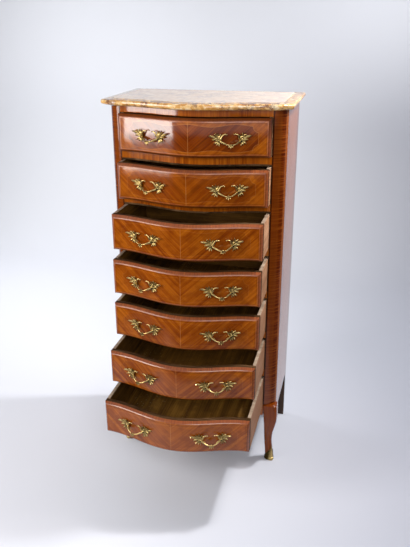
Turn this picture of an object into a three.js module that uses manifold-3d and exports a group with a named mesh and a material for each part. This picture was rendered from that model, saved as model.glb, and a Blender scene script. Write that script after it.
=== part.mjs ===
import * as THREE from 'three';
import { mergeVertices } from 'three/addons/utils/BufferGeometryUtils.js';
import Module from 'manifold-3d';

// A seven-drawer tall chest with a bowed front, in millimetres, standing on z = 0.
// x runs across the front, -y is the way the drawers open.

// carcass
const drawerCount = 7;
const openingWidth = 490;
const openingHeight = 120;
const railHeight = 30;
const friezeHeight = 22;
const apronBottom = 195;
const apronHeight = 38;
const apronRise = 9;
const apronDepth = 30;
const railDepth = 60;
const dustPanelThickness = 12;
const carcassDepth = 328;
const bowDepth = 52;
const postWidth = 42;
const postDepth = 35;
const postBottom = 241;
const postCrown = 5;
const sidePanelThickness = 18;
const backPanelThickness = 8;
const topBoardThickness = 18;
const rearPostWidth = 20;
const rearPostDepth = 28;
const floorBoardThickness = 18;

// marble slab
const marbleThickness = 20;
const marbleSideOverhang = 19;
const marbleFrontOverhang = 34;
const marbleCornerSetback = 1;
const marbleCornerInset = 46;
const marbleNoseHeight = 9;
const marbleNoseReach = 10;

// drawers
const frontGap = 1.2;
const frontSideGap = 1.5;
const frontThickness = 16;
const bevelRise = 7;
const bevelReach = 10;
const boardThickness = 11;
const drawerRearGap = 12;
const runnerGap = 0.4;
const bottomThickness = 5;
const bottomHeight = 9;
const drawerTravel = 275;
const drawerOpenShares = [0.08, 0.18, 0.436, 0.476, 0.498, 0.713, 0.975];

// pulls
const pullSpread = 122;
const bossSpacing = 68;
const pullHeightOnFront = 57;
const leafRadius = 24;
const leafWaist = 9;
const leafThickness = 3;
const bossRadius = 7;
const bossHeight = 8;
const gripRadius = 3;
const gripReach = 20;
const gripDrop = 20;
const hornHeight = 17;
const hornInset = 17;
const hornRadius = 2.2;
const dropRadius = 4.5;

// legs
const legLevelShares = [0, 0.06, 0.16, 0.3, 0.43, 0.57, 0.72, 0.86, 1];
const legWidthShares = [0.6, 0.59, 0.57, 0.56, 0.63, 0.79, 0.96, 1.02, 1];
const legSwayShares = [0.35, 0.3, 0.1, -0.35, -0.35, 0.05, 0.4, 0.3, 0];
const legWidth = 50;
const legSway = 12;
const legCentreX = 23;
const legCentreY = 23;
const rearLegWidth = 38;
const rearLegDepth = 30;
const rearFootShare = 0.6;
const sabotHeight = 46;
const sabotWall = 2.6;
const sabotSole = 3;
const sabotTongue = 18;

// fits
const fitGap = 0.3;
const cutOverrun = 40;
const curveSteps = 24;

const pitch = openingHeight + railHeight;
const halfOpening = openingWidth / 2;
const caseHalf = halfOpening + postWidth;
const panelInside = caseHalf - sidePanelThickness;
const backInside = carcassDepth - backPanelThickness;
const lowestFloor = apronBottom + apronHeight;
const topOfOpenings = lowestFloor + drawerCount * pitch - railHeight;
const carcassTop = topOfOpenings + friezeHeight;
const frontWidth = openingWidth - 2 * frontSideGap;
const frontHeight = openingHeight - 2 * frontGap;
const boxHeight = frontHeight + frontGap - runnerGap;
const boxLength = backInside - drawerRearGap;
const rearPostInside = panelInside - rearPostWidth;

const kingwood = { color: 0x8a4a1f, roughness: 0.3, metalness: 0 };
const innerWood = { color: 0xb08a62, roughness: 0.7, metalness: 0 };
const darkWood = { color: 0x4a2a18, roughness: 0.6, metalness: 0 };
const stone = { color: 0xd9b477, roughness: 0.25, metalness: 0 };
const giltBrass = { color: 0xb08d45, roughness: 0.35, metalness: 1 };

const solids = await Module();
solids.setup();

// depth of the bow at a distance x from the middle of the front
function bowAt(x) {
  const share = Math.min(Math.abs(x) / halfOpening, 1);
  return bowDepth * (1 + Math.cos(Math.PI * share)) / 2;
}

function bowSlopeAt(x) {
  const share = Math.max(-1, Math.min(x / halfOpening, 1));
  return Math.PI * bowDepth * Math.sin(Math.PI * share) / (2 * halfOpening);
}

// the bowed line from -halfWidth to halfWidth, set square off the bow by a distance to the front
function bowPoints(halfWidth, forward) {
  const points = [];
  for (let i = 0; i <= curveSteps; i++) {
    const x = halfWidth * (2 * i / curveSteps - 1);
    const slope = bowSlopeAt(x);
    const reach = forward / Math.sqrt(1 + slope * slope);
    points.push(new THREE.Vector2(x + slope * reach, -bowAt(x) - reach));
  }
  return points;
}

class BowCurve extends THREE.Curve {
  constructor(halfWidth, forward) {
    super();
    this.halfWidth = halfWidth;
    this.forward = forward;
  }

  getPoint(share) {
    const x = this.halfWidth * (2 * share - 1);
    return new THREE.Vector3(x, -this.forward - bowAt(x), 0);
  }
}

function polygon(corners) {
  return new THREE.Shape(corners.map(([x, y]) => new THREE.Vector2(x, y)));
}

// a plan outline raised from one level to another
function raise(shape, bottom, top) {
  const geometry = new THREE.ExtrudeGeometry(shape, { depth: top - bottom, bevelEnabled: false });
  return geometry.translate(0, 0, bottom);
}

function block(x0, x1, y0, y1, z0, z1) {
  const geometry = new THREE.BoxGeometry(x1 - x0, y1 - y0, z1 - z0);
  return geometry.translate((x0 + x1) / 2, (y0 + y1) / 2, (z0 + z1) / 2);
}

function tube(points, radius, sides, steps) {
  const section = new THREE.Shape();
  for (let i = 0; i < sides; i++) {
    const angle = 2 * Math.PI * i / sides;
    const x = radius * Math.cos(angle);
    const y = radius * Math.sin(angle);
    if (i === 0) section.moveTo(x, y);
    else section.lineTo(x, y);
  }
  const path = new THREE.CatmullRomCurve3(points);
  return new THREE.ExtrudeGeometry(section, { steps, extrudePath: path, bevelEnabled: false });
}

function toSolid(geometry) {
  const bare = geometry.clone();
  bare.deleteAttribute('normal');
  bare.deleteAttribute('uv');
  const merged = mergeVertices(bare);
  return new solids.Manifold(new solids.Mesh({
    numProp: 3,
    vertProperties: merged.attributes.position.array,
    triVerts: new Uint32Array(merged.index.array),
  }));
}

function toGeometry(solid) {
  const mesh = solid.getMesh();
  const geometry = new THREE.BufferGeometry();
  geometry.setAttribute('position', new THREE.BufferAttribute(mesh.vertProperties, 3));
  geometry.setIndex(new THREE.BufferAttribute(mesh.triVerts, 1));
  geometry.computeVertexNormals();
  return geometry;
}

function join(...geometries) {
  const [first, ...others] = geometries.map(toSolid);
  return toGeometry(others.reduce((whole, part) => whole.add(part), first));
}

function cut(geometry, ...cutters) {
  return toGeometry(cutters.map(toSolid).reduce((left, cutter) => left.subtract(cutter), toSolid(geometry)));
}

function named(name, geometry, finish) {
  const mesh = new THREE.Mesh(geometry, new THREE.MeshStandardMaterial(finish));
  mesh.name = name;
  return mesh;
}

// the same geometry turned over to the other side of the chest
function mirrored(geometry) {
  const flat = geometry.index ? geometry.toNonIndexed() : geometry.clone();
  flat.scale(-1, 1, 1);
  const position = flat.attributes.position;
  const order = [];
  for (let i = 0; i < position.count; i += 3) order.push(i, i + 2, i + 1);
  flat.setIndex(order);
  return flat;
}

const semainier = new THREE.Group();

function addPair(name, rightGeometry, finish) {
  semainier.add(named(`${name}_right`, rightGeometry, finish));
  semainier.add(named(`${name}_left`, mirrored(rightGeometry), finish));
}

// canted front post, its outer face a shallow curve from the front to the side
function frontPost() {
  const middle = new THREE.Vector2((halfOpening + caseHalf) / 2 + postCrown, postDepth / 2 - postCrown);
  const shape = new THREE.Shape();
  shape.moveTo(halfOpening, postDepth);
  shape.lineTo(halfOpening, 0);
  shape.splineThru([
    new THREE.Vector2(halfOpening + postWidth / 4, 0),
    middle,
    new THREE.Vector2(caseHalf, postDepth),
  ]);
  const geometry = new THREE.ExtrudeGeometry(shape, {
    depth: carcassTop - postBottom, bevelEnabled: false, curveSegments: 4,
  });
  return geometry.translate(0, 0, postBottom);
}

function sidePanel() {
  return block(panelInside, caseHalf, postDepth, carcassDepth, apronBottom, carcassTop);
}

function rearPost() {
  return block(rearPostInside, panelInside, backInside - rearPostDepth, backInside,
    apronBottom, carcassTop - topBoardThickness);
}

function rearLeg() {
  const legHeight = apronBottom;
  const geometry = new THREE.BoxGeometry(rearLegWidth, rearLegDepth, legHeight, 1, 1, 4);
  const position = geometry.attributes.position;
  for (let i = 0; i < position.count; i++) {
    const share = position.getZ(i) / legHeight + 1 / 2;
    const size = rearFootShare + (1 - rearFootShare) * share * share;
    position.setX(i, rearLegWidth / 2 + (position.getX(i) - rearLegWidth / 2) * size);
    position.setY(i, rearLegDepth / 2 + (position.getY(i) - rearLegDepth / 2) * size);
  }
  return geometry.translate(caseHalf - rearLegWidth / 2, carcassDepth - rearLegDepth / 2, legHeight / 2);
}

function valueAt(levels, values, share) {
  let i = 1;
  while (i < levels.length - 1 && share > levels[i]) i++;
  const between = (share - levels[i - 1]) / (levels[i] - levels[i - 1]);
  return values[i - 1] + (values[i] - values[i - 1]) * between;
}

// curved front leg between two levels, swollen by an even allowance all round
function legForm(bottom, top, allowance, rings) {
  const height = top - bottom;
  const geometry = new THREE.CylinderGeometry(1, 1, height, 8, rings);
  geometry.rotateX(Math.PI / 2);
  const position = geometry.attributes.position;
  for (let i = 0; i < position.count; i++) {
    const z = position.getZ(i) + height / 2 + bottom;
    const share = Math.min(Math.max(z / postBottom, 0), 1);
    const half = legWidth * valueAt(legLevelShares, legWidthShares, share) / 2 + allowance;
    const sway = legSway * valueAt(legLevelShares, legSwayShares, share) / Math.SQRT2;
    position.setX(i, halfOpening + legCentreX + sway + position.getX(i) * half);
    position.setY(i, legCentreY - sway + position.getY(i) * half);
    position.setZ(i, z);
  }
  return geometry;
}

// the knee keeps clear of the panel and rail that stand behind it
function frontLeg() {
  const whole = legForm(sabotSole + fitGap, postBottom, 0, 16);
  const besideRail = block(halfOpening - cutOverrun, halfOpening, -cutOverrun, postDepth + cutOverrun,
    apronBottom - fitGap, postBottom + cutOverrun);
  const besidePanel = block(halfOpening - cutOverrun, caseHalf + cutOverrun, postDepth, postDepth + cutOverrun,
    apronBottom - fitGap, postBottom + cutOverrun);
  return cut(whole, besideRail, besidePanel);
}

// cast shoe round the toe, with a pointed tongue up the front of the leg
function sabot() {
  const shell = legForm(0, sabotHeight + sabotTongue, sabotWall, 6);
  const cavity = legForm(sabotSole, sabotHeight + sabotTongue + cutOverrun, fitGap, 8);
  const reach = legWidth + cutOverrun;
  const slant = new THREE.BoxGeometry(2 * reach, 2 * reach, 2 * reach);
  slant.translate(0, 0, reach);
  slant.rotateX(-Math.atan2(sabotTongue, legWidth));
  slant.rotateZ(Math.PI / 4);
  slant.translate(halfOpening + legCentreX, legCentreY, sabotHeight);
  return cut(shell, cavity, slant);
}

// one flat board behind the bowed front, notched round the four posts
function carcassBoard(bottom, top, setback) {
  const notchY = backInside - rearPostDepth;
  const rightSide = [
    [halfOpening, postDepth],
    [panelInside, postDepth],
    [panelInside, notchY],
    [rearPostInside, notchY],
    [rearPostInside, backInside],
  ];
  const leftSide = rightSide.map(([x, y]) => [-x, y]).reverse();
  const corners = bowPoints(halfOpening, -setback);
  corners.push(...[...rightSide, ...leftSide].map(([x, y]) => new THREE.Vector2(x, y)));
  return raise(new THREE.Shape(corners), bottom, top);
}

// rail between two drawers with the thin dust panel that the upper drawer slides on
function divider(bottom) {
  const under = block(-caseHalf, caseHalf, railDepth, carcassDepth,
    bottom - cutOverrun, bottom + railHeight - dustPanelThickness);
  return cut(carcassBoard(bottom, bottom + railHeight, 0), under);
}

function friezeRail() {
  const corners = bowPoints(halfOpening, 0);
  corners.push(new THREE.Vector2(halfOpening, postDepth), new THREE.Vector2(-halfOpening, postDepth));
  return raise(new THREE.Shape(corners), topOfOpenings, carcassTop);
}

function topBoard() {
  return block(-panelInside, panelInside, postDepth, backInside, carcassTop - topBoardThickness, carcassTop);
}

// bowed bottom rail, its lower edge lifted in two shallow arches
function apron() {
  const corners = bowPoints(halfOpening, 0);
  corners.push(...bowPoints(halfOpening, -apronDepth).reverse());
  const band = raise(new THREE.Shape(corners), apronBottom, lowestFloor);
  const arches = [-1, 1].map((side) => {
    const arch = new THREE.Shape();
    arch.moveTo(-halfOpening / 3, 0);
    arch.quadraticCurveTo(0, 2 * apronRise, halfOpening / 3, 0);
    arch.lineTo(halfOpening / 3, -apronRise);
    arch.lineTo(-halfOpening / 3, -apronRise);
    const geometry = new THREE.ExtrudeGeometry(arch, {
      depth: bowDepth + apronDepth + 2 * cutOverrun, bevelEnabled: false, curveSegments: 8,
    });
    geometry.rotateX(Math.PI / 2);
    return geometry.translate(side * halfOpening / 2, apronDepth + cutOverrun, apronBottom);
  });
  return cut(band, ...arches);
}

function backPanel() {
  return block(-panelInside, panelInside, backInside, carcassDepth, apronBottom, carcassTop);
}

// slab with a rounded nose, bowed in front and canted over the posts
function marbleTop() {
  const side = caseHalf + marbleSideOverhang - marbleNoseReach;
  const front = marbleFrontOverhang - marbleNoseReach;
  const canted = caseHalf + marbleSideOverhang - marbleCornerInset;
  const setback = marbleCornerSetback;
  const corners = bowPoints(canted, front);
  corners.push(new THREE.Vector2(side, setback));
  corners.push(new THREE.Vector2(side, carcassDepth - marbleNoseReach));
  corners.push(new THREE.Vector2(-side, carcassDepth - marbleNoseReach));
  corners.push(new THREE.Vector2(-side, setback));
  const geometry = new THREE.ExtrudeGeometry(new THREE.Shape(corners), {
    depth: marbleThickness - 2 * marbleNoseHeight,
    bevelThickness: marbleNoseHeight,
    bevelSize: marbleNoseReach,
    bevelSegments: 3,
  });
  return geometry.translate(0, 0, carcassTop + marbleNoseHeight);
}

// bowed front board with a sloping margin round its face, standing at its closed place
function drawerFront() {
  const half = frontHeight / 2;
  const section = polygon([
    [-half, frontThickness],
    [-half, 0],
    [-half + bevelRise, -bevelReach],
    [half - bevelRise, -bevelReach],
    [half, 0],
    [half, frontThickness],
  ]);
  const board = new THREE.ExtrudeGeometry(section, {
    steps: curveSteps, extrudePath: new BowCurve(frontWidth / 2, 0), bevelEnabled: false,
  });
  board.translate(0, 0, frontGap + half);
  const wedges = [-1, 1].map((side) => {
    const wedge = polygon([
      [side * frontWidth / 2, 0],
      [side * (frontWidth / 2 - 2 * bevelRise), -2 * bevelReach],
      [side * (frontWidth / 2 + cutOverrun), -2 * bevelReach],
      [side * (frontWidth / 2 + cutOverrun), 0],
    ]);
    return raise(wedge, -cutOverrun, frontHeight + cutOverrun);
  });
  return cut(board, ...wedges);
}

function drawerBox() {
  const outer = frontWidth / 2;
  const inner = outer - boardThickness;
  const start = frontThickness + fitGap;
  const shape = polygon([
    [-outer, start], [-inner, start],
    [-inner, boxLength - boardThickness], [inner, boxLength - boardThickness],
    [inner, start], [outer, start],
    [outer, boxLength], [-outer, boxLength],
  ]);
  return raise(shape, runnerGap, runnerGap + boxHeight);
}

function drawerBottom() {
  const half = frontWidth / 2 - boardThickness - fitGap;
  const corners = bowPoints(half, -frontThickness - fitGap);
  corners.push(new THREE.Vector2(half, boxLength - boardThickness - fitGap));
  corners.push(new THREE.Vector2(-half, boxLength - boardThickness - fitGap));
  return raise(new THREE.Shape(corners), bottomHeight, bottomHeight + bottomThickness);
}

// spiky leaf plate round one screw boss, longest away from the grip
function leafPlate() {
  const tips = 6;
  const outline = [];
  for (let i = 0; i < 2 * tips; i++) {
    const angle = Math.PI * i / tips;
    const outward = (1 + Math.cos(angle)) / 2;
    const reach = i % 2 ? leafWaist : leafWaist + (leafRadius - leafWaist) * (1 + outward) / 2;
    outline.push(new THREE.Vector2(reach * Math.cos(angle), reach * Math.sin(angle)));
  }
  const geometry = new THREE.ExtrudeGeometry(new THREE.Shape(outline), {
    depth: leafThickness, bevelEnabled: false,
  });
  return geometry.rotateX(Math.PI / 2);
}

// one cast pull, its back on y = 0 and its bosses level with z = 0
function pull() {
  const half = bossSpacing / 2;
  const pieces = [];
  for (const side of [-1, 1]) {
    const leaf = leafPlate();
    if (side < 0) leaf.rotateY(Math.PI);
    pieces.push(leaf.translate(side * half, 0, 0));
    const boss = new THREE.SphereGeometry(bossRadius, 6, 4);
    boss.scale(1, bossHeight / bossRadius, 1);
    pieces.push(boss.translate(side * half, -leafThickness, 0));
    pieces.push(tube([
      new THREE.Vector3(side * (half - bossRadius / 2), -leafThickness - bossHeight / 2, 0),
      new THREE.Vector3(side * (half - hornInset / 2), -gripReach / 2, hornHeight * 2 / 3),
      new THREE.Vector3(side * (half - hornInset), -gripReach / 2, hornHeight),
      new THREE.Vector3(side * (half - hornInset), -gripReach / 2, hornHeight * 2 / 3),
    ], hornRadius, 4, 3));
  }
  pieces.push(tube([
    new THREE.Vector3(-half, -leafThickness - bossHeight / 2, 0),
    new THREE.Vector3(-half * 3 / 4, -gripReach * 3 / 4, -gripDrop / 3),
    new THREE.Vector3(-half / 3, -gripReach, -gripDrop * 5 / 6),
    new THREE.Vector3(0, -gripReach, -gripDrop),
    new THREE.Vector3(half / 3, -gripReach, -gripDrop * 5 / 6),
    new THREE.Vector3(half * 3 / 4, -gripReach * 3 / 4, -gripDrop / 3),
    new THREE.Vector3(half, -leafThickness - bossHeight / 2, 0),
  ], gripRadius, 5, 8));
  const drop = new THREE.SphereGeometry(dropRadius, 5, 4);
  pieces.push(drop.translate(0, -gripReach, -gripDrop - dropRadius / 2));
  const whole = join(...pieces);
  const behind = block(-openingWidth, openingWidth, 0, cutOverrun, -openingHeight, openingHeight);
  return cut(whole, behind);
}

// a pull carried to its place at x and fitted to the bowed face there
function pullOnFace(x) {
  const geometry = pull();
  const slope = bowSlopeAt(x);
  const length = Math.sqrt(1 + slope * slope);
  const position = geometry.attributes.position;
  for (let i = 0; i < position.count; i++) {
    const baseX = x + position.getX(i) / length;
    const out = -position.getY(i);
    const localSlope = bowSlopeAt(baseX);
    const lift = (bevelReach + fitGap) / Math.sqrt(1 + localSlope * localSlope);
    position.setX(i, baseX + localSlope * lift + out * slope / length);
    position.setY(i, -bowAt(baseX) - lift - out / length);
  }
  return geometry.translate(0, 0, frontGap + pullHeightOnFront);
}

function drawer(index) {
  const group = new THREE.Group();
  const name = `drawer_${index + 1}`;
  group.add(named(`${name}_front`, drawerFront(), kingwood));
  group.add(named(`${name}_box`, drawerBox(), innerWood));
  group.add(named(`${name}_bottom`, drawerBottom(), innerWood));
  for (const [side, x] of [['left', -pullSpread], ['right', pullSpread]]) {
    group.add(named(`${name}_pull_${side}`, pullOnFace(x), giltBrass));
  }
  const floor = lowestFloor + (drawerCount - 1 - index) * pitch;
  group.position.set(0, -drawerTravel * drawerOpenShares[index], floor);
  return group;
}

addPair('front_post', frontPost(), kingwood);
addPair('front_leg', frontLeg(), kingwood);
addPair('sabot', sabot(), giltBrass);
addPair('side_panel', sidePanel(), kingwood);
addPair('rear_post', rearPost(), darkWood);
addPair('rear_leg', rearLeg(), kingwood);
semainier.add(named('apron', apron(), kingwood));
semainier.add(named('floor_board', carcassBoard(lowestFloor - floorBoardThickness, lowestFloor, apronDepth), innerWood));
for (let i = 1; i < drawerCount; i++) {
  const bottom = topOfOpenings - openingHeight - railHeight - (i - 1) * pitch;
  semainier.add(named(`divider_${i}`, divider(bottom), kingwood));
}
semainier.add(named('frieze_rail', friezeRail(), kingwood));
semainier.add(named('top_board', topBoard(), darkWood));
semainier.add(named('back_panel', backPanel(), darkWood));
semainier.add(named('marble_top', marbleTop(), stone));
for (let i = 0; i < drawerCount; i++) {
  semainier.add(drawer(i));
}

export default semainier;
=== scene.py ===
import math

import bmesh
import bpy
from mathutils import Matrix, Vector


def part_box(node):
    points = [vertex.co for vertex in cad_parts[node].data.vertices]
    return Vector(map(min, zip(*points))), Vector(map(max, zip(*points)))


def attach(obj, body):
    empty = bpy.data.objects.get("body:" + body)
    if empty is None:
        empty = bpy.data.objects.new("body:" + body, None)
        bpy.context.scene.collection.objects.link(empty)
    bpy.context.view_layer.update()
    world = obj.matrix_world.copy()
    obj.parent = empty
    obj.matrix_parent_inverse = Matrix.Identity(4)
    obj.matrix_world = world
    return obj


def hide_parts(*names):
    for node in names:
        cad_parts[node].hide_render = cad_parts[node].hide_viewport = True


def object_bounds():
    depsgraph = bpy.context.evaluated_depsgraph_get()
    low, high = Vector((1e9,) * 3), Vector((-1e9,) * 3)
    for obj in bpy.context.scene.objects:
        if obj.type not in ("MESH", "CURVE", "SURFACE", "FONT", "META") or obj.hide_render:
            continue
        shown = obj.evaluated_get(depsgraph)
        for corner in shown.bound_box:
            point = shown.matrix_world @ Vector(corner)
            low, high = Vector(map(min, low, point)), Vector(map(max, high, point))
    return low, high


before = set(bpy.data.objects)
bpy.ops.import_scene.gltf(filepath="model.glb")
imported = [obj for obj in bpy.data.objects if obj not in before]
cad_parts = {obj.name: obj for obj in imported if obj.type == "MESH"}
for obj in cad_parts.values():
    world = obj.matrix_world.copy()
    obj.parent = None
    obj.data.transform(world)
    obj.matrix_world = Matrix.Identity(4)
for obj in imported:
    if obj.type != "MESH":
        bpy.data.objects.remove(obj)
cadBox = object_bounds()
print("frame loaded:", len(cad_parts), "nodes")

drawerNumbers = range(1, 8)
sides = {"left": -1, "right": 1}


# sizes read from the frame

friezeLow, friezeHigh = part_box("frieze_rail")
panelLow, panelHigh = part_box("side_panel_right")
postLow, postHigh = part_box("front_post_right")
frontLow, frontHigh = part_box("drawer_1_front")
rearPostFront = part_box("rear_post_right")[0].y
halfOpening = friezeHigh.x
halfFront = frontHigh.x
frontHeight = frontHigh.z - frontLow.z
slabTop = cadBox[1][2]
bowDepth = -friezeLow.y


def bowAt(x):
    share = min(abs(x) / halfOpening, 1)
    return bowDepth * (1 + math.cos(math.pi * share)) / 2


def bowSlopeAt(x):
    share = max(-1, min(x / halfOpening, 1))
    return math.pi * bowDepth * math.sin(math.pi * share) / (2 * halfOpening)


# camera, at the photograph's place and angle

camera = {
    "place": (0.51572, -1.93478, 1.53127),
    "yaw": -0.24513,
    "pitch": -0.38312,
    "roll": -0.00265,
    "lens": 41.874,
    "sensorWidth": 36,
}


def addObject(name, data):
    made = bpy.data.objects.new(name, data)
    bpy.context.scene.collection.objects.link(made)
    return made


def addCamera():
    yaw, pitch = camera["yaw"], camera["pitch"]
    ahead = Vector((math.sin(yaw) * math.cos(pitch), math.cos(yaw) * math.cos(pitch), math.sin(pitch)))
    data = bpy.data.cameras.new("camera")
    data.lens = camera["lens"]
    data.sensor_width = camera["sensorWidth"]
    viewer = addObject("camera", data)
    turn = Matrix.Rotation(camera["roll"], 3, "Z").to_quaternion()
    viewer.rotation_mode = "QUATERNION"
    viewer.rotation_quaternion = ahead.to_track_quat("-Z", "Y") @ turn
    viewer.location = camera["place"]
    bpy.context.scene.camera = viewer


addCamera()
print("camera placed")


# shader maths

class Wire:
    # one output of a shader node; an expression with it adds Math nodes
    def __init__(self, wiring, socket):
        self.wiring = wiring
        self.socket = socket

    def calc(self, operation, *values):
        return self.wiring.node("ShaderNodeMath", {"operation": operation}, dict(enumerate(values)))

    def __add__(self, other):
        return self.calc("ADD", self, other)

    def __radd__(self, other):
        return self.calc("ADD", other, self)

    def __sub__(self, other):
        return self.calc("SUBTRACT", self, other)

    def __rsub__(self, other):
        return self.calc("SUBTRACT", other, self)

    def __mul__(self, other):
        return self.calc("MULTIPLY", self, other)

    def __rmul__(self, other):
        return self.calc("MULTIPLY", other, self)

    def __pow__(self, other):
        return self.calc("POWER", self, other)

    def __neg__(self):
        return self.calc("MULTIPLY", self, -1)

    def __abs__(self):
        return self.calc("ABSOLUTE", self)

    def low(self, other):
        return self.calc("MINIMUM", self, other)

    def high(self, other):
        return self.calc("MAXIMUM", self, other)

    def cosine(self):
        return self.calc("COSINE", self)


class Wiring:
    # a node tree, to which every call adds a node
    def __init__(self, tree):
        self.tree = tree

    def node(self, kind, settings=None, inputs=None, output=0):
        made = self.tree.nodes.new(kind)
        for key, value in (settings or {}).items():
            if key == "stops":
                while len(made.color_ramp.elements) < len(value):
                    made.color_ramp.elements.new(1)
                for element, (place, tone) in zip(made.color_ramp.elements, value):
                    element.position = place
                    element.color = (*tone, 1)
            else:
                setattr(made, key, value)
        for key, value in (inputs or {}).items():
            socket = made.inputs[key]
            if isinstance(value, Wire):
                self.tree.links.new(value.socket, socket)
            elif socket.type == "RGBA" and len(value) == 3:
                socket.default_value = (*value, 1)
            else:
                socket.default_value = value
        return Wire(self, made.outputs[output])

    def split(self, point):
        first = self.node("ShaderNodeSeparateXYZ", inputs={0: point})
        return [Wire(self, output) for output in first.socket.node.outputs]


class Finish(Wiring):
    # one material, its fixed values set on the shader's own sockets
    def __init__(self, name, **fixed):
        self.material = bpy.data.materials.new(name)
        self.material.use_nodes = True
        super().__init__(self.material.node_tree)
        self.shader = self.tree.nodes["Principled BSDF"]
        for key, value in fixed.items():
            self.shader.inputs[key.replace("_", " ")].default_value = value

    def feed(self, **sockets):
        for key, wire in sockets.items():
            self.tree.links.new(wire.socket, self.shader.inputs[key.replace("_", " ")])
        return self.material

    def place(self):
        return self.split(self.node("ShaderNodeTexCoord", output="Object"))

    def flat(self):
        return self.split(self.node("ShaderNodeUVMap", {"uv_map": "flat"}))[:2]

    def attribute(self, name):
        return self.node("ShaderNodeAttribute", {"attribute_name": name}, output="Fac")

    def vector(self, x, y, z):
        return self.node("ShaderNodeCombineXYZ", inputs={0: x, 1: y, 2: z})

    def noise(self, x, y, z, detail=2.0, roughness=0.5, distortion=0.0):
        return self.node("ShaderNodeTexNoise", inputs={
            "Vector": self.vector(x, y, z), "Scale": 1.0, "Detail": detail,
            "Roughness": roughness, "Distortion": distortion})

    def mottle(self, scale, **settings):
        # noise of one scale in all directions, fixed to the piece
        return self.noise(*(axis * scale for axis in self.place()), **settings)

    def cells(self, where, scale, output, feature="F1"):
        return self.node("ShaderNodeTexVoronoi", {"feature": feature},
                         {"Vector": where, "Scale": scale}, output)

    def rise(self, value, start, end):
        # smooth step from 0 at start to 1 at end
        return self.node("ShaderNodeMapRange", {"interpolation_type": "SMOOTHSTEP"}, {
            "Value": value, "From Min": start, "From Max": end, "To Min": 0.0, "To Max": 1.0})

    def stripe(self, value, centre, width):
        return 1.0 - self.rise(abs(value - centre), width * 0.45, width * 0.6)

    def ramp(self, value, *stops):
        return self.node("ShaderNodeValToRGB", {"stops": stops}, {"Fac": value}, output="Color")

    def mix(self, factor, first, second, blend="MIX"):
        return self.node("ShaderNodeMix", {"data_type": "RGBA", "blend_type": blend},
                         {0: factor, 6: first, 7: second}, output=2)

    def bump(self, height, distance):
        return self.node("ShaderNodeBump", inputs={
            "Height": height, "Distance": distance, "Strength": 1.0})


# colours of the woods and metals, in linear light

tones = {
    "tulipwood": ((0.140, 0.024, 0.001), (0.23, 0.049, 0.002), (0.34, 0.092, 0.005)),
    "kingwood": ((0.054, 0.006, 0.0005), (0.112, 0.016, 0.001), (0.21, 0.042, 0.002)),
    "margin": ((0.145, 0.025, 0.001), (0.21, 0.043, 0.002), (0.29, 0.074, 0.005)),
    # painted shade for the drawer margins, deepest on the top drawers
    "marginPaintedShade": (0.085, 0.014, 0.001),
    "post": ((0.046, 0.005, 0.0003), (0.098, 0.014, 0.0007), (0.21, 0.048, 0.004)),
    # painted light and painted highlight for the posts' outer sides and edges
    "postPaintedSideLight": (0.30, 0.085, 0.008),
    "postPaintedEdgeHighlight": (0.55, 0.30, 0.19),
    "string": (0.62, 0.30, 0.09),
    # dark joint lines, also used as the painted shadow line along the posts' openings
    "jointAndGapShadow": (0.04, 0.008, 0.001),
    "rawWood": ((0.24, 0.110, 0.052), (0.38, 0.19, 0.095), (0.50, 0.28, 0.16)),
    "rimWood": ((0.16, 0.11, 0.075), (0.28, 0.20, 0.14), (0.40, 0.31, 0.23)),
    # the lowest drawer's bottom, lighter as painted light
    "paintedLightBottom": ((0.070, 0.028, 0.004), (0.160, 0.070, 0.009), (0.27, 0.130, 0.022)),
    # painted shade for the fronts' bare edges and the rails' lower lips
    "paintedShadeEdgeWood": ((0.018, 0.008, 0.002), (0.050, 0.024, 0.009), (0.12, 0.065, 0.030)),
    # painted shade for the drawers' insides
    "paintedShadeInsideWood": ((0.052, 0.020, 0.002), (0.112, 0.046, 0.004), (0.19, 0.085, 0.012)),
    # painted shade for the rear legs
    "rearLegPaintedShade": ((0.020, 0.010, 0.005), (0.040, 0.018, 0.009), (0.075, 0.034, 0.016)),
    "darkWood": ((0.05, 0.022, 0.008), (0.10, 0.045, 0.016), (0.17, 0.08, 0.030)),
    "dust": (0.42, 0.33, 0.20),
    "giltHollow": (0.040, 0.025, 0.006),
    "giltBright": (0.50, 0.36, 0.14),
    "giltTarnish": (0.13, 0.085, 0.025),
    "steel": (0.30, 0.28, 0.25),
    "rust": (0.16, 0.07, 0.03),
}


def grain(finish, across, along, seed, shades, coarse, fine=260.0):
    # streaks that run along the grain, broad ones under fine ones, with short dark pores
    dark, middle, light = shades
    broad = finish.noise(across * coarse, along * 3.0, seed, distortion=0.3)
    narrow = finish.noise(across * fine, along * 8.0, seed + 11.0)
    pores = finish.noise(across * 2200.0, along * 90.0, seed + 23.0, detail=1.0)
    streak = broad * 0.56 + narrow * 0.44
    colour = finish.ramp(streak, (0.34, dark), (0.48, middle), (0.63, light))
    colour = finish.mix(finish.rise(pores, 0.62, 0.74) * 0.45, colour, dark)
    return colour, streak - pores * 0.3


def varnish(finish, colour, streak, wave=0.00045, crown=0.0, dull=0.0):
    # slightly uneven polish over the grain, lower where the face is crowned, duller where it is worn
    swell = finish.mottle(16.0, detail=1.0)
    smear = finish.mottle(55.0)
    normal = finish.bump(swell + smear * 0.12 + streak * 0.02 - crown, wave)
    return finish.feed(Base_Color=colour, Normal=normal, Roughness=smear * 0.10 + 0.07 + dull)


marquetry = {
    "lean": math.radians(43),
    "marginWidth": 0.0070,
    "marginLine": (0.0060, 0.0012),  # dark line inside the margin: how far in, width
    "jointLine": (0.0004, 0.0010),
    "fieldHalfWidth": 0.205,
    "fieldHalfHeight": 0.0385,
    "fieldWave": 0.0035,
    "fieldWaveLength": 0.137,
    "fieldDepth": (0.24, 0.21, 0.35),  # on all drawers, more on the upper two, more on the first
    "cornerNotch": 0.017,
    "stringWidth": 0.0011,
    "centreLineWidth": 0.0010,
    "crownStart": 0.058,
    "crownFall": 4.4,
    "marginDull": 0.26,
    "lowDull": 0.13,
}


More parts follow.
